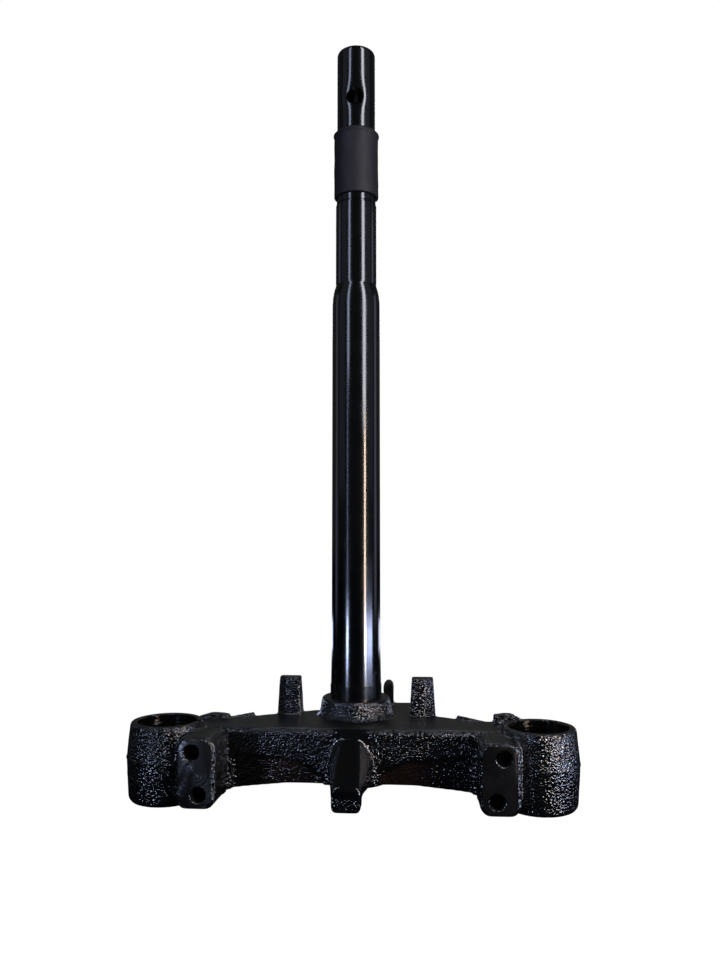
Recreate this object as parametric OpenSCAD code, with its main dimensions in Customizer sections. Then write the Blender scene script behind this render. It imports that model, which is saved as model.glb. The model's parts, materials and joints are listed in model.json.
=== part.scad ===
// Lower fork bridge of a small motorcycle, with its steering stem.
// Millimetres, +Z up along the steering axis, -Y towards the front of the machine.
// The origin is on the steering axis, at the shoulder that the lower steering bearing seats on.

/* [Steering stem] */
// Height of the stem's top end above the bearing shoulder
stem_reach = 409; // [300:1:480]
// Outside diameter of the stem's wide lower part
stem_d = 30; // [27:0.5:34]
// Outside diameter of the narrow upper part
upper_d = 25.8; // [23:0.1:26.5]
// Length of the narrow part, from the top end down to the swage
upper_run = 152.5; // [130:0.5:200]
// Length of the swage between the two diameters
swage_run = 17; // [8:0.5:30]
// Outside diameter of the plain end above the thread
head_d = 24.3; // [20:0.1:25]
// Wall of the stem tube
stem_wall = 4; // [2.5:0.1:5]
// Diameter of the lower bearing seat
seat_d = 31.5; // [30.5:0.1:36]
// Diameter of the stem's root, pressed into the bridge
root_d = 31; // [29:0.1:33]
// Length of the cylindrical bearing seat
seat_run = 8; // [6:0.5:16]
// Length of the taper from the seat up to the tube
seat_taper_run = 24; // [6:1:40]
// Diameter of the cross hole for the handlebar bolt
cross_hole_d = 11; // [8:0.5:13]
// Distance from the stem's top end to the cross hole
cross_hole_drop = 33.2; // [20:0.1:42]
// Rounding of the stem's top rim
stem_rim = 1.2; // [0.4:0.1:1.8]

/* [Thread sleeve] */
// Distance from the stem's top end to the sleeve's top
sleeve_drop = 53; // [50:0.5:70]
// Length of the sleeve
sleeve_run = 42.5; // [25:0.5:60]
// Wall of the sleeve
sleeve_wall = 1.4; // [1:0.1:3]
// Radial clearance between the sleeve and the thread
sleeve_slip = 0.1; // [0.05:0.05:0.3]
// Height that the sleeve's rim stands proud of its wall
sleeve_lip = 0.45; // [0.2:0.05:1]
// Length of the sleeve's rim
sleeve_lip_run = 4; // [2:0.5:8]

/* [Fork clamps] */
// Distance between the two fork axes
fork_spacing = 211; // [204:0.5:230]
// Distance from the steering axis forward to the fork axes
fork_offset = 43.5; // [40:0.5:50]
// Diameter of the fork tube
fork_tube_d = 33; // [30:0.5:35]
// Radial clearance of the fork tube in its unclamped bore
fork_slip = 0.05; // [0.05:0.05:0.15]
// Height of the fork clamps
clamp_h = 43.8; // [41:0.1:52]
// Distance from the bearing shoulder down to the clamp tops
clamp_drop = 6.5; // [3:0.5:12]
// Wall of a clamp at its top rim
clamp_wall = 4; // [3:0.5:6]
// Extra wall at the forging's parting line, left by the draft
clamp_draft = 1.9; // [0.5:0.1:3]
// Distance from the clamp tops down to the parting line
parting_drop = 19.2; // [12:0.2:26]
// Rounding of a clamp's lower outer edge
clamp_foot_round = 3.5; // [2:0.5:4]
// Width of the slit that lets the clamps close
slit_w = 3; // [2:0.5:4]

/* [Pinch lugs] */
// Distance from the fork axis forward to a lug's bolt face
lug_reach = 26.5; // [24:0.5:32]
// Distance from the fork axis inboard to a lug's middle
lug_in = 23.5; // [22:0.1:26]
// Width of a lug
lug_w = 22.5; // [19:0.1:24]
// Distance from the clamp tops down to a lug's top
lug_top_drop = 3.5; // [1:0.5:6]
// Distance from the clamp bottoms up to a lug's bottom
lug_bottom_rise = 2; // [0.4:0.1:3]
// Corner radius of a lug's bolt face
lug_round = 6; // [3:0.5:8]
// Rounding of the edge around the bolt face
lug_edge = 1.8; // [0.8:0.1:3]
// Diameter of the pinch bolt holes
bolt_hole_d = 8.5; // [6.5:0.1:9]
// Width of the chamfer at the mouths of the bolt holes
bolt_chamfer = 0.7; // [0.3:0.1:1.2]
// Distance from the fork axis inboard to the upper bolt
upper_bolt_in = 21.4; // [21.4:0.1:24]
// Distance from the fork axis inboard to the lower bolt
lower_bolt_in = 25.3; // [22:0.1:27]
// Distance from the clamp tops down to the upper bolt
upper_bolt_drop = 11.5; // [9.5:0.1:15]
// Distance from the clamp tops down to the lower bolt
lower_bolt_drop = 34; // [28:0.1:35]

/* [Rear bosses] */
// Distance from the fork axes back to the rear faces of the clamp bosses
boss_reach = 31; // [28:0.5:34]
// Depth of the raised rim on a boss, front to back
boss_rim = 6; // [4:0.5:8]
// Distance from the fork axis inboard to the left boss's middle
left_boss_in = 19.5; // [17:0.5:22]
// Distance from the fork axis inboard to the right boss's middle
right_boss_in = 12.5; // [10:0.5:16]
// Width of a boss
boss_w = 21; // [17:0.5:24]
// Height of the left boss's rim above the arms' flat top
left_rim_h = 3.2; // [1:0.1:4]
// Height of the right boss's rim above the arms' flat top
right_rim_h = 5.8; // [2:0.1:6.5]

/* [Arms] */
// Distance from the clamp tops down to the arms' flat top
arm_drop = 4.5; // [3:0.5:6]
// Distance from the fork axes back to the arms' front wall
arm_setback = 3.2; // [2.5:0.1:5]
// Height of the arms at the middle
arm_h = 31.7; // [28:0.1:36]
// Thickness of the arms' top web
web_t = 8; // [6:0.5:12]
// Wall of the arms around the hollow in their underside
arm_wall = 7; // [5:0.5:9]
// Half width of the straight front wall
arm_half = 72.5; // [70:0.5:76]
// Rounding of the arms' upper front edge
arm_edge = 3.5; // [1.5:0.5:5]
// Depth of the shallow recess under the arms' front band
recess_depth = 3; // [1.5:0.5:4.5]
// Height of the front band at its outer end
band_h = 14.5; // [11:0.5:17]
// Height of the thin ridge along the arms' rear edges
ridge_h = 2.2; // [1:0.1:3]
// Thickness of the thin ridge along the arms' rear edges
ridge_t = 3; // [2:0.5:4]

/* [Stem boss] */
// Diameter of the cast collar at its top, under the bearing
collar_d = 42; // [39:0.5:46]
// Extra radius of the collar at its foot
collar_draft = 1.4; // [0.5:0.1:2]
// Diameter of the round boss below the arms
hub_d = 46; // [43:0.5:50]
// Rounding of the hub's lower edge
hub_round = 3; // [1:0.5:5]

/* [Front foot] */
// Distance from the steering axis forward to the foot's face
foot_reach = 70; // [60:0.5:76]
// Width of the foot at its tip
foot_w = 16.6; // [13:0.2:20]
// Depth of the foot at its tip, front to back
foot_depth = 10; // [8:0.5:14]
// Height of the foot's front face
foot_h = 13.3; // [10:0.1:18]
// Width of the foot at its root on the front wall
foot_root_w = 24; // [20:0.5:30]
// Width of the foot's crest where it meets the arms' top
foot_crest_w = 10; // [6:0.5:14]
// Rounding of the foot's tip
foot_round = 3; // [1.5:0.5:4]

/* [Stop posts] */
// Distance from the steering axis sideways to a post's middle
post_out = 41; // [38:0.5:48]
// Height of the posts above the arms' flat top
post_h = 22.7; // [16:0.1:30]
// Width of a post at its foot
post_w = 17; // [14:0.5:20]
// Depth of a post at its foot, front to back
post_depth = 13; // [10:0.5:16]
// Share of its foot size that a post keeps at its top
post_taper = 0.8; // [0.7:0.01:0.95]
// Width of the chamfer on a post's outer front corner
post_chamfer = 6.5; // [2:0.5:7]

/* [Lock tongue] */
// Distance from the steering axis back to the tongue's rear edge
tongue_reach = 38; // [32:0.5:46]
// Distance from the steering axis sideways to the tongue's inner edge
tongue_in = 15.4; // [13:0.2:17]
// Width of the tongue
tongue_w = 27; // [22:0.5:32]
// Thickness of the tongue
tongue_t = 9; // [6:0.5:12]
// Height of the upright tab above the arms' flat top
tab_h = 15; // [10:0.5:20]
// Thickness of the upright tab
tab_t = 6.8; // [5:0.1:9]
// Length of the upright tab, front to back
tab_run = 11; // [8:0.5:14]

/* [Hidden] */
$fn = 96;
// Steps in a small arc and the play given to cutting tools
arc_steps = 6;
over = 1;

// Levels
clamp_top = -clamp_drop;
clamp_foot = clamp_top - clamp_h;
parting_z = clamp_top - parting_drop;
arm_top = clamp_top - arm_drop;
arm_foot = arm_top - arm_h;
lug_top = clamp_top - lug_top_drop;
lug_foot = clamp_foot + lug_bottom_rise;
sleeve_top = stem_reach - sleeve_drop;
swage_top = stem_reach - upper_run;

// Plan places
fork_x = fork_spacing / 2;
fork_y = -fork_offset;
arm_front = fork_y + arm_setback;
boss_rear = fork_y + boss_reach;
bolt_face = fork_y - lug_reach;
lug_x = fork_x - lug_in;
// Rear edge of an arm: a step beside the clamp boss, then a middle point under the stop post
step_x = fork_x - 34;
middle_x = fork_x - 49.5;
middle_y = -4;

// Radii
bore_r = fork_tube_d / 2 + fork_slip;
rim_r = bore_r + clamp_wall;
parting_r = rim_r + clamp_draft;
stem_bore_r = stem_d / 2 - stem_wall;
upper_bore_r = upper_d / 2 - stem_wall;

// Outline whose corners [x, y, radius] are rounded by arcs.
function unit(v) = v / norm(v);
function turn(a) = a > 180 ? a - 360 : (a < -180 ? a + 360 : a);
function corner_arc(before, corner, after) =
    let (p = [corner.x, corner.y],
         to_before = unit([before.x, before.y] - p),
         to_after = unit([after.x, after.y] - p),
         half = acos(max(-1, min(1, to_before * to_after))) / 2,
         r = corner.z)
    r == 0 || half > 89.9 ? [p] :
    let (middle = p + unit(to_before + to_after) * r / sin(half),
         from = p + to_before * r / tan(half) - middle,
         to = p + to_after * r / tan(half) - middle,
         start = atan2(from.y, from.x),
         sweep = turn(atan2(to.y, to.x) - start))
    [for (i = [0:arc_steps]) middle + r * [cos(start + sweep * i / arc_steps),
                                           sin(start + sweep * i / arc_steps)]];
function rounded(corners) =
    let (n = len(corners))
    [for (i = [0:n - 1]) each corner_arc(corners[(i + n - 1) % n], corners[i], corners[(i + 1) % n])];
function box_corners(x0, y0, x1, y1, r) = [[x0, y0, r], [x1, y0, r], [x1, y1, r], [x0, y1, r]];

// Corners of a half outline together with their mirror images across x = 0.
function both_halves(half) = concat(half, [for (i = [len(half) - 1:-1:0]) [-half[i].x, half[i].y, half[i].z]]);

// Stands an XZ outline up and gives it a depth from y0 back to y1.
module upright(y0, y1) {
    translate([0, y1, 0]) rotate([90, 0, 0]) linear_extrude(y1 - y0) children();
}

// Copies a part to both forks; the children are drawn for the right side.
module both_sides() {
    children();
    mirror([1, 0, 0]) children();
}

// Forged barrel around a fork bore, drafted both ways from the parting line.
module clamp_barrel() {
    top_edge = 1.2;
    foot_r = rim_r + 0.4;
    translate([fork_x, fork_y, 0]) rotate_extrude() polygon(rounded([
        [0, clamp_foot, 0],
        [foot_r, clamp_foot, clamp_foot_round],
        [parting_r, parting_z, 0],
        [rim_r, clamp_top, top_edge],
        [0, clamp_top, 0]]));
}

// Thin slice of a lug's outline, grown outwards on every side.
module lug_slice(y, grow) {
    slice = 0.05;
    upright(y, y + slice) polygon(rounded(box_corners(
        lug_x - lug_w / 2 - grow, lug_foot - grow / 2,
        lug_x + lug_w / 2 + grow, lug_top + grow / 2, lug_round)));
}

// Front half of the pinch joint, with a flat bolt face and a rounded edge around it.
module pinch_lug() {
    draft = 0.6;
    hull() {
        lug_slice(bolt_face, -lug_edge);
        lug_slice(bolt_face + lug_edge, 0);
        lug_slice(fork_y, draft);
    }
}

// Raised rim on the rear half of the pinch joint, crowned and cut square at its inboard end.
module rear_boss(in, rim_h) {
    x = fork_x - in;
    top = arm_top + rim_h;
    foot = clamp_foot + clamp_foot_round;
    crown_r = 14;
    upright(boss_rear - boss_rim, boss_rear) polygon(rounded([
        [x - boss_w / 2, foot, 1],
        [x + boss_w / 2, foot, 1],
        [x + boss_w / 2, arm_top, 3],
        [x, top, crown_r],
        [x - boss_w / 2, top - rim_h / 4, 0.6]]));
}

// Plan of the two arms with the middle web, from the front wall to the rear edges.
module arm_plan() {
    clamp_side = fork_x - bore_r;
    boss_side = clamp_side + 5;
    stem_side = tongue_in + 10;
    stem_rear = 12;
    polygon(rounded(both_halves([
        [arm_half, arm_front, 0],
        [clamp_side, arm_front, 0],
        [boss_side, boss_rear, 3],
        [step_x, boss_rear, 4],
        [middle_x, middle_y, 6],
        [stem_side, stem_rear, 4]])));
}

// Front view of the arms: level in the middle, dropping to the clamp bottoms at the ends.
module arm_front_view() {
    level_end = 36;
    bend = 62;
    bend_drop = 2.6;
    foot_end = 82;
    polygon(rounded(both_halves([
        [level_end, arm_foot, 20],
        [bend, arm_foot - bend_drop, 12],
        [foot_end, lug_foot, 4],
        [fork_x, lug_foot, 0],
        [fork_x, arm_top, 0]])));
}

// Side view of the arms, rounded along the upper front edge.
module arm_side_view() {
    rear = tongue_reach;
    foot_edge = 2;
    rotate([90, 0, 90]) translate([0, 0, -fork_x]) linear_extrude(2 * fork_x) polygon(rounded([
        [arm_front, clamp_foot, foot_edge],
        [rear, clamp_foot, 0],
        [rear, arm_top, 0],
        [arm_front, arm_top, arm_edge]]));
}

// Hollow in the underside of one arm.
module arm_hollow() {
    corner = 4;
    out = step_x - 3;
    in = hub_d / 2 + 3;
    front = arm_front + arm_wall;
    rear = middle_y - 8;
    translate([0, 0, clamp_foot - over]) linear_extrude(arm_top - web_t - clamp_foot + over)
        polygon(rounded([
            [in, front, corner],
            [out, front, corner],
            [out, rear - 6, corner],
            [middle_x + 4, rear, corner],
            [in, rear, corner]]));
}

// Shallow arched recess in the front wall, below the band.
module front_recess() {
    inner = foot_root_w / 2 + 4;
    outer = arm_half - 4;
    arch_run = 16;
    arch_drop = 12;
    band_foot = arm_top - band_h;
    upright(arm_front - over, arm_front + recess_depth) polygon(rounded([
        [inner, clamp_foot, 0],
        [inner, band_foot - arch_drop, 8],
        [inner + arch_run, band_foot - arch_drop / 4, 12],
        [outer, band_foot, 5],
        [outer, clamp_foot, 0]]));
}

// Thin ridge that rises along an arm's rear edge towards the middle and ends square.
module rear_ridge() {
    inner = [middle_x + 6, middle_y - 2.5];
    outer = [step_x + 7, boss_rear];
    run = norm(outer - inner);
    translate([inner.x, inner.y, arm_top - ridge_t])
        rotate([0, 0, atan2(outer.y - inner.y, outer.x - inner.x)])
        upright(-ridge_t, 0)
        polygon([[0, 0], [run, 0], [run, ridge_t], [0, ridge_t + ridge_h]]);
}

// Round boss that holds the stem's root, with the cast collar under the bearing.
module stem_boss() {
    collar_r = collar_d / 2;
    hub_r = hub_d / 2;
    hub_draft = 1.5;
    fillet = 2.5;
    rotate_extrude() polygon(rounded([
        [0, clamp_foot, 0],
        [hub_r - hub_draft / 3, clamp_foot, hub_round],
        [hub_r + hub_draft, arm_top, 0],
        [collar_r + collar_draft + fillet, arm_top, 0],
        [collar_r + collar_draft, arm_top + fillet, 1],
        [collar_r, 0, 1],
        [0, 0, 0]]));
}

// Foot that reaches forward and down from the middle of the front wall: a root and an upright tip.
module front_foot() {
    root_depth = 3;
    crest_drop = 4;
    crest_h = 2;
    tip_rear = -foot_reach + foot_depth;
    foot_bottom = lug_foot;
    foot_top = foot_bottom + foot_h;
    tip_x = foot_w / 2 - foot_round;
    hull() {
        translate([-foot_root_w / 2, arm_front, arm_foot + 1])
            cube([foot_root_w, root_depth, arm_h / 2]);
        translate([-foot_crest_w / 2, arm_front + 1, arm_top - crest_drop - crest_h])
            cube([foot_crest_w, root_depth, crest_h]);
        for (side = [-1, 1])
            translate([side * tip_x, tip_rear, foot_top - foot_round]) rotate([90, 0, 0])
                cylinder(r = foot_round, h = foot_depth, $fn = 32);
    }
    hull() for (side = [-1, 1], level = [foot_bottom + foot_round, foot_top - foot_round])
        translate([side * tip_x, tip_rear, level]) rotate([90, 0, 0])
            cylinder(r = foot_round, h = foot_depth, $fn = 32);
}

// Tapered steering stop post, chamfered on its outer front corner.
module stop_post() {
    buried = 6;
    corner = 1.5;
    chamfer_edge = 0.8;
    translate([post_out, 0, arm_top - buried])
        linear_extrude(post_h + buried, scale = post_taper)
        polygon(rounded([
            [-post_w / 2, -post_depth / 2, corner],
            [post_w / 2 - post_chamfer, -post_depth / 2, chamfer_edge],
            [post_w / 2, -post_depth / 2 + post_chamfer, chamfer_edge],
            [post_w / 2, post_depth / 2, corner],
            [-post_w / 2, post_depth / 2, corner]]));
}

// Web under a stop post, down the rear of the arm.
module post_web() {
    inset = 1;
    rise = 4;
    translate([post_out - post_w / 2, -post_depth / 2, arm_foot + rise])
        cube([post_w, post_depth - inset, arm_h - rise - over]);
}

// Tongue that reaches back beside the stem, with its upright tab, for the steering lock.
module lock_tongue() {
    outer = tongue_in + tongue_w;
    waist_y = 12;
    narrowing = 4;
    tab_edge = tab_t / 2 - 0.1;
    translate([0, 0, arm_top - tongue_t]) linear_extrude(tongue_t)
        polygon(rounded([
            [tongue_in, 0, 0],
            [outer, 0, 0],
            [outer, waist_y, 3],
            [outer - narrowing, tongue_reach, 6],
            [tongue_in, tongue_reach, 2]]));
    upright(tongue_reach - tab_run, tongue_reach) polygon(rounded([
        [tongue_in, arm_top - tongue_t, 0],
        [tongue_in + tab_t, arm_top - tongue_t, 0],
        [tongue_in + tab_t, arm_top + tab_h, tab_edge],
        [tongue_in, arm_top + tab_h, tab_edge]]));
}

// Pinch bolt hole through the front lug, the slit and the rear boss, chamfered at both ends.
module bolt_hole(in, drop) {
    run = lug_reach + boss_reach;
    mouth_d = bolt_hole_d + 2 * (bolt_chamfer + over);
    translate([fork_x - in, boss_rear, clamp_top - drop]) rotate([90, 0, 0]) {
        translate([0, 0, -over]) cylinder(d = bolt_hole_d, h = run + 2 * over);
        translate([0, 0, -over]) cylinder(d1 = mouth_d, d2 = bolt_hole_d, h = bolt_chamfer + over);
        translate([0, 0, run - bolt_chamfer]) cylinder(d1 = bolt_hole_d, d2 = mouth_d, h = bolt_chamfer + over);
    }
}

module lower_bridge() {
    color("#17181a") difference() {
        union() {
            both_sides() {
                clamp_barrel();
                pinch_lug();
                stop_post();
                post_web();
                rear_ridge();
            }
            rear_boss(right_boss_in, right_rim_h);
            mirror([1, 0, 0]) rear_boss(left_boss_in, left_rim_h);
            intersection() {
                translate([0, 0, clamp_foot]) linear_extrude(clamp_h) arm_plan();
                upright(2 * fork_y, -2 * fork_y) arm_front_view();
                arm_side_view();
            }
            stem_boss();
            front_foot();
            lock_tongue();
        }
        both_sides() {
            translate([fork_x, fork_y, clamp_foot - over]) cylinder(r = bore_r, h = clamp_h + 2 * over);
            translate([lug_x - lug_w, fork_y - slit_w / 2, clamp_foot - over])
                cube([lug_in + lug_w, slit_w, clamp_h + 2 * over]);
            bolt_hole(upper_bolt_in, upper_bolt_drop);
            bolt_hole(lower_bolt_in, lower_bolt_drop);
            arm_hollow();
            front_recess();
        }
        translate([0, 0, clamp_foot - over]) cylinder(d = root_d, h = clamp_h + clamp_drop + 2 * over);
    }
}

// Swaged tube, pressed into the bridge up to the bearing seat.
module steering_stem() {
    root = clamp_foot + 1;
    color("#101113") difference() {
        rotate_extrude() polygon(rounded([
            [stem_bore_r, root, 0],
            [root_d / 2, root, 0.8],
            [root_d / 2, 0, 0],
            [seat_d / 2, 0, 0],
            [seat_d / 2, seat_run, 0],
            [stem_d / 2, seat_run + seat_taper_run, 0],
            [stem_d / 2, swage_top - swage_run, 12],
            [upper_d / 2, swage_top, 12],
            [upper_d / 2, sleeve_top, 0],
            [head_d / 2, sleeve_top, 0],
            [head_d / 2, stem_reach, stem_rim],
            [upper_bore_r, stem_reach, 0.5],
            [upper_bore_r, swage_top, 0],
            [stem_bore_r, swage_top - swage_run, 0]]));
        translate([0, head_d, stem_reach - cross_hole_drop]) rotate([90, 0, 0])
            cylinder(d = cross_hole_d, h = 2 * head_d);
    }
}

// Soft sleeve that protects the thread, with a rim at its top.
module thread_sleeve() {
    inner = upper_d / 2 + sleeve_slip;
    outer = inner + sleeve_wall;
    color("#2b2930") rotate_extrude() polygon(rounded([
        [inner, sleeve_top - sleeve_run, 0],
        [outer, sleeve_top - sleeve_run, 0.8],
        [outer, sleeve_top - sleeve_lip_run - 1, 0],
        [outer + sleeve_lip, sleeve_top - sleeve_lip_run, 0],
        [outer + sleeve_lip, sleeve_top, 0.7],
        [inner, sleeve_top, 0]]));
}

lower_bridge();
steering_stem();
thread_sleeve();
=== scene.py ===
import json
import math

import bmesh
import bpy
from mathutils import Matrix, Vector, kdtree


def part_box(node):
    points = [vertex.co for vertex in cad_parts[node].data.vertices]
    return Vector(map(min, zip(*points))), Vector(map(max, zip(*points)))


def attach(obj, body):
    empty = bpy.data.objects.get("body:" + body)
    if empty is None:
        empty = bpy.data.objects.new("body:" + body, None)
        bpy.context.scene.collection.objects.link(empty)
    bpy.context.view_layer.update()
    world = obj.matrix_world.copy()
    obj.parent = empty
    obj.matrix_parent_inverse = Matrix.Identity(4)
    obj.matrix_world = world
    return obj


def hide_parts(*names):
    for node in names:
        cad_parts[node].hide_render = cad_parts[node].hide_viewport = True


# A forged fork bridge with its steering stem, dressed as the painted part.
# Metres, +Z up the stem, -Y to the front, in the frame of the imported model.
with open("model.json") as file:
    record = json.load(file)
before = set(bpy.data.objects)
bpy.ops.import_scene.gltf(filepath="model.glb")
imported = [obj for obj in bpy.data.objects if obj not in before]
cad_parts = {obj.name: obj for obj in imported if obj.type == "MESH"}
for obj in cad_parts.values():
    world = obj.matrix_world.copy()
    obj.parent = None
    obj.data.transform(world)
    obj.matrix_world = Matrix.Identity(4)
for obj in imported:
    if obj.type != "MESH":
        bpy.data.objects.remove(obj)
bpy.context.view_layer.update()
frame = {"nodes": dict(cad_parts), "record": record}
MM = 0.001
DEG = math.pi / 180

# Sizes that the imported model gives
mounts = {mount["name"]: mount for mount in frame["record"]["mounts"]}
bridge_low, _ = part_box("lower_bridge")
stem_low, stem_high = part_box("steering_stem")
sleeve_low, sleeve_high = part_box("thread_sleeve")
fork_axes = [Vector(mounts[name]["pos_m"]) for name in ("fork_left", "fork_right")]
pinch_holes = [Vector(mount["pos_m"]) for name, mount in mounts.items() if name.startswith("pinch")]
fork_r = mounts["fork_left"]["dims"]["r_mm"] * MM
bolt_r = mounts["pinch_upper_left"]["dims"]["r_mm"] * MM
seat_r = mounts["lower_bearing_seat"]["dims"]["r_mm"] * MM
seat_run = mounts["lower_bearing_seat"]["dims"]["length_mm"] * MM
head_r = mounts["handlebar_end"]["dims"]["r_mm"] * MM
cross_hole_r = mounts["handlebar_bolt"]["dims"]["r_mm"] * MM
cross_hole_z = mounts["handlebar_bolt"]["pos_m"][2]
clamp_h = mounts["fork_left"]["dims"]["length_mm"] * MM

# Levels and faces of the bridge
fork_y = fork_axes[0].y
clamp_foot = bridge_low.z
clamp_top = clamp_foot + clamp_h
arm_top = clamp_top - 4.5 * MM
lug_top = clamp_top - 3.5 * MM
lug_foot = clamp_foot + 2 * MM
parting_z = clamp_top - 19.2 * MM
bolt_face = bridge_low.y
boss_rear = fork_y + 31 * MM
root_r = 15.5 * MM
slit_w = 3 * MM
reach = abs(fork_axes[0].x)
arm_front = fork_y + 3.2 * MM
lug_in = 23.5 * MM
lug_w = 22.5 * MM
facing_y = bolt_face + 0.25 * MM

# Sizes of the stem
tube_r = 15 * MM
narrow_r = 12.9 * MM
tube_bore_r = 11 * MM
narrow_bore_r = 8.9 * MM
taper_top = seat_run + 24 * MM
swage_foot = stem_high.z - 169.5 * MM
swage_top = stem_high.z - 152.5 * MM


def link_piece(name, bm):
    """Puts a bmesh into the scene as a new object at the origin."""
    mesh = bpy.data.meshes.new(name)
    bm.to_mesh(mesh)
    bm.free()
    piece = bpy.data.objects.new(name, mesh)
    bpy.context.collection.objects.link(piece)
    return piece


def apply_modifiers(piece):
    """Makes what a piece's modifiers do part of its mesh."""
    graph = bpy.context.evaluated_depsgraph_get()
    mesh = bpy.data.meshes.new_from_object(piece.evaluated_get(graph))
    piece.modifiers.clear()
    piece.data = mesh


def modify(piece, kind, **settings):
    """Adds one modifier with its settings and applies it."""
    modifier = piece.modifiers.new(kind.lower(), kind)
    for name, value in settings.items():
        setattr(modifier, name, value)
    apply_modifiers(piece)


def weigh(piece, group_name, rule):
    """Fills a vertex group from a rule that turns a point and its normal into a weight."""
    group = piece.vertex_groups.new(name=group_name)
    for vertex in piece.data.vertices:
        group.add([vertex.index], rule(vertex.co, vertex.normal), "REPLACE")


def turned(profile, steps, closed=False):
    """Shape turned round the Z axis from (radius, height) points; closed makes it a ring."""
    bm = bmesh.new()
    points = [bm.verts.new((radius, 0, height)) for radius, height in profile]
    pairs = list(zip(points, points[1:])) + ([(points[-1], points[0])] if closed else [])
    edges = [bm.edges.new(pair) for pair in pairs]
    bmesh.ops.spin(bm, geom=points + edges, cent=(0, 0, 0), axis=(0, 0, 1), dvec=(0, 0, 0),
                   angle=2 * math.pi, steps=steps, use_merge=True, use_duplicate=False)
    bmesh.ops.remove_doubles(bm, verts=bm.verts, dist=0.0001 * MM)
    bmesh.ops.recalc_face_normals(bm, faces=bm.faces)
    return bm


def arc(centre, radius, start, end, steps):
    """Points of a round corner in a turned profile, from one angle to another in degrees."""
    angles = [(start + (end - start) * i / steps) * DEG for i in range(steps + 1)]
    return [(centre[0] + radius * math.cos(a), centre[1] + radius * math.sin(a)) for a in angles]


def rod(bm, radius, start, end, segments=64):
    """Adds a closed cylinder between two points."""
    along = end - start
    place = Matrix.Translation((start + end) / 2) @ along.to_track_quat("Z", "Y").to_matrix().to_4x4()
    bmesh.ops.create_cone(bm, cap_ends=True, segments=segments, radius1=radius, radius2=radius,
                          depth=along.length, matrix=place)


def block(bm, low, high):
    """Adds a closed box between two corners."""
    low, high = Vector(low), Vector(high)
    size = Matrix.Diagonal((*(high - low), 1))
    bmesh.ops.create_cube(bm, size=1, matrix=Matrix.Translation((low + high) / 2) @ size)


def cut(piece, bm):
    """Cuts a bmesh out of a piece, as a cutter does."""
    tool = link_piece("cutter", bm)
    modify(piece, "BOOLEAN", operation="DIFFERENCE", object=tool, solver="MANIFOLD")
    bpy.data.objects.remove(tool)
    piece.data.materials.clear()


# Bridge: forged blank first, then the machined bores, faces and slits

VOXEL = 0.6 * MM
FILLET_REACH = 4.5 * MM
MOST_TRIANGLES = 180000
INSIDE_CORNER = -20 * DEG
SKIN, BORES, FACED, SMOOTH, HOLES = range(5)


def inside_corners(bm):
    """Search tree of points along the solid's inside corners."""
    corners = [edge for edge in bm.edges
               if edge.is_manifold and edge.calc_face_angle_signed() < INSIDE_CORNER]
    points = []
    for edge in corners:
        start, end = (vertex.co for vertex in edge.verts)
        count = max(1, round((end - start).length / MM))
        points += [start.lerp(end, i / count) for i in range(count + 1)]
    tree = kdtree.KDTree(len(points))
    for index, point in enumerate(points):
        tree.insert(point, index)
    tree.balance()
    return tree


def forged_blank():
    """The bridge as it leaves the forge, without its bores and slits."""
    bm = bmesh.new()
    bm.from_mesh(frame["nodes"]["lower_bridge"].data)
    bmesh.ops.remove_doubles(bm, verts=bm.verts, dist=0.001 * MM)
    corners = inside_corners(bm)
    overlap = 0.4 * MM
    for axis in fork_axes:
        side = math.copysign(1, axis.x)
        foot = Vector((axis.x, axis.y, clamp_foot))
        rod(bm, fork_r + overlap, foot, foot + Vector((0, 0, clamp_h)), 96)
        inner = side * (abs(axis.x) - lug_in - lug_w / 2)
        outer = axis.x - side * fork_r / 2
        block(bm, (min(inner, outer), fork_y - slit_w / 2 - overlap, lug_foot + MM),
              (max(inner, outer), fork_y + slit_w / 2 + overlap, lug_top - MM))
    for hole in pinch_holes:
        front = Vector((hole.x, bolt_face, hole.z))
        rod(bm, bolt_r + overlap, front, Vector((hole.x, boss_rear, hole.z)), 32)
    rod(bm, root_r + overlap, Vector((0, 0, clamp_foot)), Vector((0, 0, 0)), 64)
    return link_piece("bridge_forging", bm), corners


def forged_skin(blank, corners):
    """Rounds the blank as forging dies do and gives it its scaled, hammered skin."""
    modify(blank, "REMESH", mode="VOXEL", voxel_size=VOXEL)
    for vertex in blank.data.vertices:
        vertex.co.y += undercut(vertex.co)
    weigh(blank, "fillet", lambda point, normal: fillet_weight(point, corners))
    weigh(blank, "skin", skin_weight)
    weigh(blank, "foot", foot_weight)
    modify(blank, "SMOOTH", factor=0.5, iterations=14, vertex_group="fillet")
    modify(blank, "SMOOTH", factor=0.5, iterations=60, vertex_group="foot")
    modify(blank, "SMOOTH", factor=0.5, iterations=8)
    reliefs = (("hammered", 9 * MM, 0.25 * MM, 1.1), ("scaled", 1.5 * MM, 0.15 * MM, 1.0))
    for name, grain, height, level in reliefs:
        clouds = bpy.data.textures.new(name, "CLOUDS")
        clouds.noise_scale = grain
        clouds.noise_depth = 1
        modify(blank, "DISPLACE", texture=clouds, texture_coords="LOCAL", strength=height,
               mid_level=level, vertex_group="skin")
    triangles = 2 * len(blank.data.polygons)
    modify(blank, "DECIMATE", ratio=min(1, MOST_TRIANGLES / triangles))


def fillet_weight(point, corners):
    """How near a point is to an inside corner; the ledge along the front walls stays crisp."""
    crisp = 0.15
    near = max(0, 1 - corners.find(point)[2] / FILLET_REACH)
    below_top = point.z < arm_top - 3 * MM
    on_wall = point.y < arm_front + 6 * MM and 16 * MM < abs(point.x) < 53 * MM and below_top
    return crisp * near if on_wall else near


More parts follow.
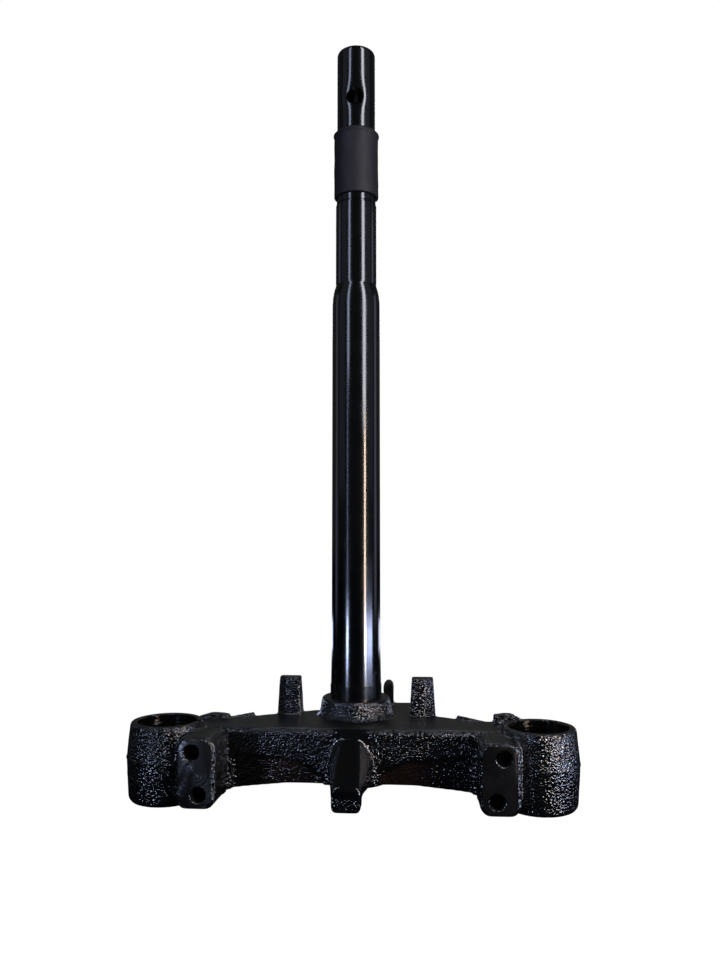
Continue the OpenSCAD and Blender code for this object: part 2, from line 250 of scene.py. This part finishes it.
def skin_weight(point, normal):
    """How far the skin lies back: hardly on the smooth top, the flash line and the lugs' front."""
    if normal.z > 0.9 and point.z > arm_top - 0.5 * MM:
        return 0.12
    if abs(point.x) > reach and abs(point.z - parting_z) < 0.7 * MM:
        return 0.1
    if normal.y < -0.95 and point.y < bolt_face + MM and abs(point.x) > lug_in:
        return 0.0
    if normal.z < -0.8:
        return 0.4
    return 1.0


def undercut(point):
    """How far the lower half of the arms' front wall leans back from the die's parting."""
    most = 0.9 * MM
    front = arm_front - 2 * MM < point.y < arm_front + 8 * MM and abs(point.x) < reach - lug_in
    drop = min(1, max(0, (parting_z - 3 * MM - point.z) / (14 * MM)))
    aside = min(1, max(0, (abs(point.x) - 13 * MM) / (8 * MM)))
    return most * drop * aside if front else 0.0


def foot_weight(point, normal):
    """How soft the front foot came out of the die: most at its crest, least at its tip."""
    side_x = 26 * MM
    if abs(point.x) > side_x or point.y > fork_y + 6 * MM or point.z > arm_top - 4 * MM:
        return 0.0
    sides = min(1, (side_x - abs(point.x)) / (8 * MM))
    above = min(1, max(0.15, (point.z - clamp_foot - 10 * MM) / (8 * MM)))
    return sides * above


def machine(piece):
    """Cuts the bores, slits and faces that are machined after forging."""
    over = 2 * MM
    lead = 0.5 * MM
    chamfer = 0.7 * MM
    mouth_r = fork_r + lead + over
    sink_r = bolt_r + chamfer + over
    run = boss_rear - bolt_face
    for axis in fork_axes:
        side = math.copysign(1, axis.x)
        bore = turned([(0, clamp_foot - over), (mouth_r, clamp_foot - over), (fork_r, clamp_foot + lead),
                       (fork_r, clamp_top - lead), (mouth_r, clamp_top + over), (0, clamp_top + over)], 160)
        bmesh.ops.translate(bore, verts=bore.verts, vec=(axis.x, axis.y, 0))
        cut(piece, bore)
        inner = side * (abs(axis.x) - lug_in - lug_w)
        slit = bmesh.new()
        block(slit, (min(inner, axis.x), fork_y - slit_w / 2, clamp_foot - over),
              (max(inner, axis.x), fork_y + slit_w / 2, clamp_top + over))
        cut(piece, slit)
    for hole in pinch_holes:
        drill = turned([(0, -over), (sink_r, -over), (bolt_r, chamfer), (bolt_r, run - chamfer),
                        (sink_r, run + over), (0, run + over)], 48)
        place = Matrix.Translation((hole.x, boss_rear, hole.z)) @ Matrix.Rotation(math.pi / 2, 4, "X")
        bmesh.ops.transform(drill, matrix=place, verts=drill.verts)
        cut(piece, drill)
    for left, right in ((lug_in, reach), (-reach, -lug_in)):
        pad = bmesh.new()
        block(pad, (left, bolt_face - over, clamp_foot - over), (right, facing_y, clamp_top + over))
        cut(piece, pad)
    hole = bmesh.new()
    rod(hole, root_r, Vector((0, 0, clamp_foot - over)), Vector((0, 0, over)), 128)
    cut(piece, hole)


def finish_bridge(piece, finishes):
    """Gives each stretch of the bridge its finish, by the finish's number."""
    for material in finishes:
        piece.data.materials.append(material)
    tolerance = 0.06 * MM
    for face in piece.data.polygons:
        spot = face.center
        off_axis = min(math.hypot(spot.x - axis.x, spot.y - axis.y) for axis in fork_axes)
        off_hole = min(math.hypot(spot.x - hole.x, spot.z - hole.z) for hole in pinch_holes)
        on_tab = 13 * MM < spot.x < 24 * MM and spot.y > 24 * MM and spot.z > arm_top + MM
        if off_axis < fork_r + tolerance:
            face.material_index = BORES
        elif off_hole < bolt_r + tolerance:
            face.material_index = HOLES
        elif abs(spot.y - facing_y) < tolerance and abs(face.normal.y) > 0.98 and abs(spot.x) > lug_in:
            face.material_index = FACED
        elif on_tab or face.normal.z > 0.95 and spot.z > arm_top - MM:
            face.material_index = SMOOTH
        else:
            face.material_index = SKIN
    piece.data.shade_smooth()
    piece.data.set_sharp_from_angle(angle=38 * DEG)


def make_bridge(finishes):
    """Forges, machines and paints the lower bridge."""
    piece, corners = forged_blank()
    forged_skin(piece, corners)
    piece.vertex_groups.clear()
    machine(piece)
    finish_bridge(piece, finishes)
    return piece


# Stem: swaged tube with a punched cross hole

def stem_profile():
    """Outside of the tube from its root up, then its inside from the top down."""
    root_edge = 0.8 * MM
    seat_edge = 0.3 * MM
    crown_w = 2.0 * MM
    crown_h = 3.0 * MM
    mouth = 0.5 * MM
    thread = 0.45 * MM
    groove = 0.9 * MM
    sleeve_foot = sleeve_low.z
    waist = [i / 16 for i in range(17)]
    swage = [(tube_r + (narrow_r - tube_r) * t ** 3, swage_foot + (swage_top - swage_foot) * t)
             for t in waist]
    crown = [(head_r - crown_w * (1 - math.sin(a * DEG)), stem_high.z - crown_h * (1 - math.cos(a * DEG)))
             for a in range(90, -1, -10)]
    near_hole = [cross_hole_z + i * MM for i in range(-16, 17)]
    thread_end = sleeve_foot - 5 * MM
    return ([(tube_bore_r, stem_low.z)]
            + arc((root_r - root_edge, stem_low.z + root_edge), root_edge, -90, 0, 4)
            + [(root_r, 0), (seat_r, 0), (seat_r, seat_run - seat_edge), (seat_r - seat_edge, seat_run)]
            + [(tube_r + 0.05 * MM, taper_top)]
            + swage
            + [(narrow_r - 0.12 * MM, swage_top + 0.7 * MM), (narrow_r, swage_top + 1.6 * MM)]
            + [(narrow_r, thread_end - 0.4 * MM), (narrow_r - 0.4 * MM, thread_end)]
            + [(narrow_r - groove, thread_end), (narrow_r - groove, thread_end + 0.9 * MM)]
            + [(narrow_r - thread, thread_end + 1.1 * MM), (narrow_r - thread, sleeve_foot + MM)]
            + [(narrow_r - 0.05 * MM, sleeve_high.z - 0.5 * MM), (head_r, sleeve_high.z)]
            + [(head_r, z) for z in near_hole]
            + crown
            + arc((narrow_bore_r + mouth, stem_high.z - mouth), mouth, 90, 180, 4)
            + [(narrow_bore_r, z) for z in reversed(near_hole)]
            + [(narrow_bore_r, swage_top), (tube_bore_r, swage_foot)])


def make_stem(enamel):
    """Turned and swaged tube; the punch that made the cross hole left a dimple round it."""
    bm = turned(stem_profile(), 160, closed=True)
    dimple = 1.5 * MM
    spread = 7 * MM
    for vertex in bm.verts:
        off_hole = math.hypot(vertex.co.x, vertex.co.z - cross_hole_z)
        if off_hole < 3 * spread and abs(vertex.co.y) > MM:
            vertex.co.y -= math.copysign(dimple * math.exp(-(off_hole / spread) ** 2), vertex.co.y)
    piece = link_piece("stem_tube", bm)
    punch = bmesh.new()
    far = 2 * head_r
    rod(punch, cross_hole_r, Vector((0, -far, cross_hole_z)), Vector((0, far, cross_hole_z)), 64)
    cut(piece, punch)
    piece.data.materials.append(enamel)
    piece.data.shade_smooth()
    piece.data.set_sharp_from_angle(angle=35 * DEG)
    return piece


# Sleeve: soft tube pulled over the thread, its top edge rolled a little outwards

def make_sleeve(rubber):
    """Moulded soft sleeve, uneven as a hand-fitted one is."""
    bore = narrow_r + 0.1 * MM
    lip_r = sleeve_high.x
    wall_r = lip_r - 0.45 * MM
    edge = 0.7 * MM
    lip = 1.2 * MM
    wall_run = sleeve_high.z - sleeve_low.z - 6 * MM
    profile = ([(bore, sleeve_low.z)]
               + arc((wall_r - edge, sleeve_low.z + edge), edge, -90, 0, 5)
               + [(wall_r, sleeve_low.z + edge + wall_run * i / 24) for i in range(1, 25)]
               + arc((lip_r - lip, sleeve_high.z - 2 * MM), lip, -60, 60, 8)
               + [(bore, sleeve_high.z)])
    piece = link_piece("sleeve_tube", turned(profile, 128, closed=True))
    skin_r = bore + 0.3 * MM
    weigh(piece, "outside", lambda point, normal: 1.0 if math.hypot(point.x, point.y) > skin_r else 0.0)
    waves = bpy.data.textures.new("uneven", "CLOUDS")
    waves.noise_scale = 11 * MM
    modify(piece, "DISPLACE", texture=waves, texture_coords="LOCAL", strength=0.7 * MM, mid_level=0.95,
           vertex_group="outside")
    piece.vertex_groups.clear()
    piece.data.materials.append(rubber)
    piece.data.shade_smooth()
    piece.data.set_sharp_from_angle(angle=50 * DEG)
    return piece


# Finishes

def linear(hex_colour):
    """Linear colour of an sRGB hex value."""
    channels = [int(hex_colour[i:i + 2], 16) / 255 for i in (1, 3, 5)]
    return [c / 12.92 if c <= 0.04045 else ((c + 0.055) / 1.055) ** 2.4 for c in channels] + [1]


def add_node(material, kind, inputs=None, **settings):
    """Adds a node; an input is given a value, or a socket that it is linked to."""
    tree = material.node_tree
    node = tree.nodes.new(kind)
    for name, value in settings.items():
        setattr(node, name, value)
    for name, value in (inputs or {}).items():
        if isinstance(value, bpy.types.NodeSocket):
            tree.links.new(value, node.inputs[name])
        else:
            node.inputs[name].default_value = value
    return node


def new_material(name):
    """Empty material, and the place on the object that its patterns read."""
    material = bpy.data.materials.new(name)
    material.use_nodes = True
    material.node_tree.nodes.clear()
    place = add_node(material, "ShaderNodeTexCoord").outputs["Object"]
    return material, place


def crest_mask(material, place):
    """How strong the grain is: weak on the front foot's crest, which the die left smooth."""
    parts = add_node(material, "ShaderNodeSeparateXYZ", {"Vector": place})
    off_middle = add_node(material, "ShaderNodeMath", {0: parts.outputs["X"]}, operation="ABSOLUTE")
    beside = add_node(material, "ShaderNodeMapRange", {
        "Value": off_middle.outputs[0], "From Min": 6 * MM, "From Max": 13 * MM,
        "To Min": 0.15, "To Max": 1.0})
    tip = add_node(material, "ShaderNodeMapRange", {
        "Value": parts.outputs["Z"], "From Min": clamp_foot + 12 * MM, "From Max": clamp_foot + 9 * MM})
    behind = add_node(material, "ShaderNodeMapRange", {
        "Value": parts.outputs["Y"], "From Min": fork_y + 4 * MM, "From Max": fork_y + 7 * MM})
    either = add_node(material, "ShaderNodeMath", {0: tip.outputs[0], 1: behind.outputs[0]},
                      operation="MAXIMUM")
    mask = add_node(material, "ShaderNodeMath", {0: beside.outputs[0], 1: either.outputs[0]},
                    operation="MAXIMUM")
    return mask.outputs[0]


def recess_mask(material, place):
    """1 in the shallow recess of the arms' front wall, where the skin is tinted brown as painted warm
    reflection and given less grain and more roughness; 0 elsewhere.
    """
    parts = add_node(material, "ShaderNodeSeparateXYZ", {"Vector": place})
    off_middle = add_node(material, "ShaderNodeMath", {0: parts.outputs["X"]}, operation="ABSOLUTE")
    steps = (
        (parts.outputs["Y"], arm_front + 1.0 * MM, arm_front + 2.2 * MM),
        (parts.outputs["Y"], arm_front + 9 * MM, arm_front + 7 * MM),
        (parts.outputs["Z"], arm_top - 8 * MM, arm_top - 10 * MM),
        (off_middle.outputs[0], 56 * MM, 42 * MM))
    mask = 1.0
    for value, nothing, full in steps:
        step = add_node(material, "ShaderNodeMapRange", {
            "Value": value, "From Min": nothing, "From Max": full})
        both = add_node(material, "ShaderNodeMath", {0: step.outputs[0], 1: mask}, operation="MULTIPLY")
        mask = both.outputs[0]
    return mask


def milled_place(material, place):
    """Place for a pattern that runs in rings round the middle of each lug's face."""
    fold = add_node(material, "ShaderNodeVectorMath", {0: place}, operation="ABSOLUTE")
    middle = (reach - lug_in, abs(bolt_face), abs(clamp_foot + clamp_h / 2))
    ring = add_node(material, "ShaderNodeVectorMath", {0: fold.outputs[0], 1: middle},
                    operation="DISTANCE")
    return add_node(material, "ShaderNodeCombineXYZ", {"X": ring.outputs["Value"]}).outputs[0]


def turned_place(material, place):
    """Place for a pattern of level rings, as a turning tool leaves in a bore."""
    squash = add_node(material, "ShaderNodeVectorMath", {0: place, 1: (0.03, 0.03, 1)},
                      operation="MULTIPLY")
    return squash.outputs[0]


def noise_height(material, place, grain):
    """Height of a fine uneven grain."""
    noise = add_node(material, "ShaderNodeTexNoise", {
        "Vector": place, "Scale": 1 / grain, "Detail": 2.0, "Roughness": 0.6})
    return noise.outputs["Fac"]


def pebble_height(material, place, grain):
    """Height of close round pits, as burnt scale leaves them, over a slower waviness."""
    pits = add_node(material, "ShaderNodeTexVoronoi", {
        "Vector": place, "Scale": 1 / grain, "Smoothness": 0.6}, feature="SMOOTH_F1")
    waves = add_node(material, "ShaderNodeTexNoise", {
        "Vector": place, "Scale": 0.5 / grain, "Detail": 2.0})
    both = add_node(material, "ShaderNodeMath", {
        0: waves.outputs["Fac"], 1: 0.7, 2: pits.outputs["Distance"]}, operation="MULTIPLY_ADD")
    return both.outputs[0]


def paint(name, colour, roughness, coat, grain, height, relief_kind=noise_height,
          pattern=None, recess_reflection_tone=None, coat_roughness=0.07):
    """Black stoving enamel: the grain and its height, in metres, show what lies under the paint.

    A pattern bends the grain's place. The recess reflection tone is a brown painted into the front
    wall's recess as warm reflected light; skin that has one also has the smooth crest of the front foot.
    """
    material, place = new_material(name)
    under = pattern(material, place) if pattern else place
    bumps = relief_kind(material, under, grain)
    patches = add_node(material, "ShaderNodeTexNoise", {
        "Vector": place, "Scale": 1 / (14 * MM), "Detail": 2.0})
    gloss = add_node(material, "ShaderNodeMapRange", {
        "Value": patches.outputs["Fac"], "From Min": 0.3, "From Max": 0.7,
        "To Min": roughness * 0.8, "To Max": roughness * 1.3})
    strength = 1.0
    tone = linear(colour)
    dulled = gloss.outputs["Result"]
    if recess_reflection_tone:
        hollow = recess_mask(material, place)
        faint = add_node(material, "ShaderNodeMapRange", {
            "Value": hollow, "To Min": 1.0, "To Max": 0.7})
        crest = crest_mask(material, place)
        strong = add_node(material, "ShaderNodeMath", {0: faint.outputs[0], 1: crest},
                          operation="MULTIPLY")
        # Painted warm reflection: the recess of the front wall is tinted brown.
        brown = add_node(material, "ShaderNodeMix", {"Factor": hollow, "A": tone, "B": linear(recess_reflection_tone)},
                         data_type="RGBA")
        dull = add_node(material, "ShaderNodeMath", {0: hollow, 1: 0.14, 2: dulled},
                        operation="MULTIPLY_ADD")
        strength = strong.outputs[0]
        tone = brown.outputs["Result"]
        dulled = dull.outputs[0]
    relief = add_node(material, "ShaderNodeBump", {
        "Height": bumps, "Distance": height, "Strength": strength})
    shader = add_node(material, "ShaderNodeBsdfPrincipled", {
        "Base Color": tone, "Roughness": dulled, "Normal": relief.outputs["Normal"],
        "Coat Weight": coat, "Coat Roughness": coat_roughness, "Coat IOR": 1.55,
        "Coat Normal": relief.outputs["Normal"]})
    add_node(material, "ShaderNodeOutputMaterial", {"Surface": shader.outputs["BSDF"]})
    return material


def rubber_finish():
    """Soft charcoal rubber, moulded dull: a broad weak highlight and a fine dry grain.

    The real grain is finer than 0.1 mm, too fine for the render, so it is drawn 0.5 mm wide.
    """
    material, place = new_material("charcoal_rubber")
    grain = add_node(material, "ShaderNodeTexNoise", {
        "Vector": place, "Scale": 1 / (0.5 * MM), "Detail": 3.0})
    tint = add_node(material, "ShaderNodeTexNoise", {
        "Vector": place, "Scale": 1 / (6 * MM), "Detail": 4.0})
    colour = add_node(material, "ShaderNodeMix", {
        "Factor": tint.outputs["Fac"], "A": linear("#131116"), "B": linear("#19171d")},
                      data_type="RGBA")
    relief = add_node(material, "ShaderNodeBump", {
        "Height": grain.outputs["Fac"], "Distance": 0.08 * MM})
    shader = add_node(material, "ShaderNodeBsdfPrincipled", {
        "Base Color": colour.outputs["Result"], "Roughness": 0.62, "Normal": relief.outputs["Normal"]})
    add_node(material, "ShaderNodeOutputMaterial", {"Surface": shader.outputs["BSDF"]})
    return material


# Stage, light and camera

def make_stage():
    """Pale floor under the part: white to the camera, darker in the part's own reflections."""
    half_width = 4
    bm = bmesh.new()
    bmesh.ops.create_grid(bm, x_segments=1, y_segments=1, size=half_width)
    bmesh.ops.translate(bm, verts=bm.verts, vec=(0, 0, clamp_foot))
    floor = link_piece("floor", bm)
    material, _ = new_material("pale_floor")
    ray = add_node(material, "ShaderNodeLightPath").outputs["Is Camera Ray"]
    matte = add_node(material, "ShaderNodeBsdfDiffuse", {"Color": linear("#2c2c2c")})
    glow = add_node(material, "ShaderNodeEmission", {"Color": linear("#ffffff"), "Strength": 1.0})
    seen = add_node(material, "ShaderNodeAddShader", {0: matte.outputs[0], 1: glow.outputs[0]})
    both = add_node(material, "ShaderNodeMixShader", {0: ray, 1: matte.outputs[0], 2: seen.outputs[0]})
    add_node(material, "ShaderNodeOutputMaterial", {"Surface": both.outputs[0]})
    floor.data.materials.append(material)


def make_world():
    """White behind the part for the camera, and only a faint fill as a light."""
    faint = 0.03
    world = bpy.data.worlds.new("studio")
    bpy.context.scene.world = world
    world.use_nodes = True
    world.node_tree.nodes.clear()
    ray = add_node(world, "ShaderNodeLightPath").outputs["Is Camera Ray"]
    level = add_node(world, "ShaderNodeMapRange", {"Value": ray, "To Min": faint, "To Max": 1.0})
    sky = add_node(world, "ShaderNodeBackground", {
        "Color": linear("#ffffff"), "Strength": level.outputs["Result"]})
    add_node(world, "ShaderNodeOutputWorld", {"Surface": sky.outputs["Background"]})


def softbox(name, place, aim, width, height, level, colour):
    """Area lamp that faces a point and is hidden from the camera; level is how bright its face is."""
    lamp = bpy.data.lights.new(name, "AREA")
    lamp.shape = "RECTANGLE"
    lamp.size = width
    lamp.size_y = height
    lamp.energy = level * math.pi * width * height
    lamp.color = linear(colour)[:3]
    holder = bpy.data.objects.new(name, lamp)
    bpy.context.collection.objects.link(holder)
    holder.location = place
    holder.rotation_mode = "QUATERNION"
    holder.rotation_quaternion = (Vector(aim) - Vector(place)).to_track_quat("-Z", "Y")
    holder.visible_camera = False


def make_lights():
    """Soft strips round the part, cool but for a warm pair on the right, and four panels farther off.

    A strip is given by its name, the angle it stands at from the front in degrees, its width, its
    foot and top level, its brightness and its colour. The low ones make the forged skin glint.
    The bright core on the right hangs a little in front of its dimmer neighbours.
    """
    distance = 0.55
    nearer = 0.01
    strips = (
        ("left", -33, 0.09, 0.30, 1.1, 4.5, "#cfdcff"),
        ("left_low", -36, 0.03, 0.04, 0.29, 3.0, "#bccfff"),
        ("left_foot", -36, 0.08, -0.048, -0.005, 48, "#c3d4ff"),
        ("left_wide", -66, 0.30, 0.15, 1.0, 0.13, "#cdd8ff"),
        ("left_rear", -166, 0.06, 0.35, 1.1, 2.0, "#dde6ff"),
        ("right", 44, 0.14, 0.24, 1.1, 8, "#eef2ff"),
        ("right_core", 47, 0.035, -0.04, 0.23, 28, "#fff0d8"),
        ("right_warm", 46, 0.08, -0.04, 0.25, 2.6, "#ffb070"),
        ("right_soft", 70, 0.30, -0.048, -0.005, 20, "#c4d2ff"),
        ("right_foot", 49, 0.07, -0.048, -0.005, 60, "#d4deff"),
        ("right_wide", 76, 0.30, 0.15, 1.0, 0.13, "#d8e0ff"),
        ("right_rear", 172, 0.06, 0.35, 1.1, 2.0, "#eef0ff"),
        ("left_rear_foot", -150, 0.25, -0.048, -0.01, 3, "#c8d6ff"),
        ("right_rear_foot", 150, 0.25, -0.048, -0.01, 3, "#dde2ff"))
    for name, azimuth, width, foot, top, level, colour in strips:
        middle = (foot + top) / 2
        away = distance - nearer if name == "right_core" else distance
        spot = Vector((away * math.sin(azimuth * DEG), -away * math.cos(azimuth * DEG), middle))
        softbox(name, spot, (0, 0, middle), width, top - foot, level, colour)
    softbox("behind", (0.1, 1.5, 0.4), (0, 0, 0), 2.0, 0.4, 0.035, "#f4f6d8")
    softbox("behind_high", (0.0, 0.8, 1.4), (0, 0, 0), 0.8, 0.3, 0.7, "#e8eeff")
    softbox("side_left", (-1.0, 0.2, 0.3), (0, 0, 0.3), 0.3, 0.8, 0.3, "#cdd8ff")
    softbox("side_right", (1.0, 0.35, 0.3), (0, 0, 0.3), 0.3, 0.8, 0.5, "#d8dcff")


def make_camera():
    """Camera at the photograph's place, a little above the bridge and tilted up along the stem."""
    eye = (42.1 * MM, -523.4 * MM, 103.4 * MM)
    line_of_sight = Vector((-0.0754, 0.9955, 0.0577))
    camera = bpy.data.cameras.new("camera")
    camera.lens = 31.455
    camera.sensor_width = 36
    camera.clip_start = 0.01
    holder = bpy.data.objects.new("camera", camera)
    bpy.context.collection.objects.link(holder)
    holder.location = eye
    holder.rotation_mode = "QUATERNION"
    holder.rotation_quaternion = line_of_sight.to_track_quat("-Z", "Y")
    bpy.context.scene.camera = holder


def main():
    """Makes and paints the three pieces, then the stage, the light and the camera."""
    # Gloss enamel over burnt forging scale: close, hard glints on a dark ground, and a brown painted
    # warm reflection in the front wall's recess. Real pits of about half a millimetre are too fine for
    # the render, so they are drawn 1.1 mm apart.
    skin = paint("forged_skin_paint", "#040506", 0.1, 0.8, 1.1 * MM, 0.54 * MM, pebble_height,
                 recess_reflection_tone="#180e0b")
    # Gloss enamel over turned steel: upright streaks, finely broken. Real tool marks are too fine for
    # the render, so the rings are drawn 0.7 mm apart, and the milling arcs below 0.8 mm.
    bores = paint("turned_bore_paint", "#08090b", 0.13, 0.7, 0.7 * MM, 0.3 * MM, pattern=turned_place)
    # Thin enamel over milled steel: an even grey sheen with faint arcs
    faced = paint("milled_lug_paint", "#0b0a0b", 0.3, 0.2, 0.8 * MM, 0.2 * MM, pattern=milled_place)
    # Half-matt enamel where the die was smooth: a soft grey top without glints. Its colour, a little
    # lighter and greener than the skin's, is painted sheen.
    smooth = paint("smooth_top_paint", "#090a09", 0.35, 0.2, 1.2 * MM, 0.05 * MM)
    # Dull paint down the drilled holes, darker than the skin as painted shade: nearly no light comes back
    holes = paint("drilled_hole_paint", "#020203", 0.55, 0.0, 1.0 * MM, 0.05 * MM)
    # Gloss enamel on drawn steel tube: sharp upright streaks with soft sides
    enamel = paint("stem_enamel", "#030405", 0.16, 0.8, 4 * MM, 0.01 * MM, coat_roughness=0.14)
    pieces = (
        (make_bridge((skin, bores, faced, smooth, holes)), "lower_bridge", "bridge_paint"),
        (make_stem(enamel), "steering_stem", "stem_enamel"),
        (make_sleeve(rubber_finish()), "thread_sleeve", "sleeve_rubber"),
    )
    for piece, node, slot in pieces:
        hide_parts(node)
        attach(piece, "root")
    make_stage()
    make_world()
    make_lights()
    make_camera()
    bpy.context.scene.view_settings.view_transform = "Standard"


main()
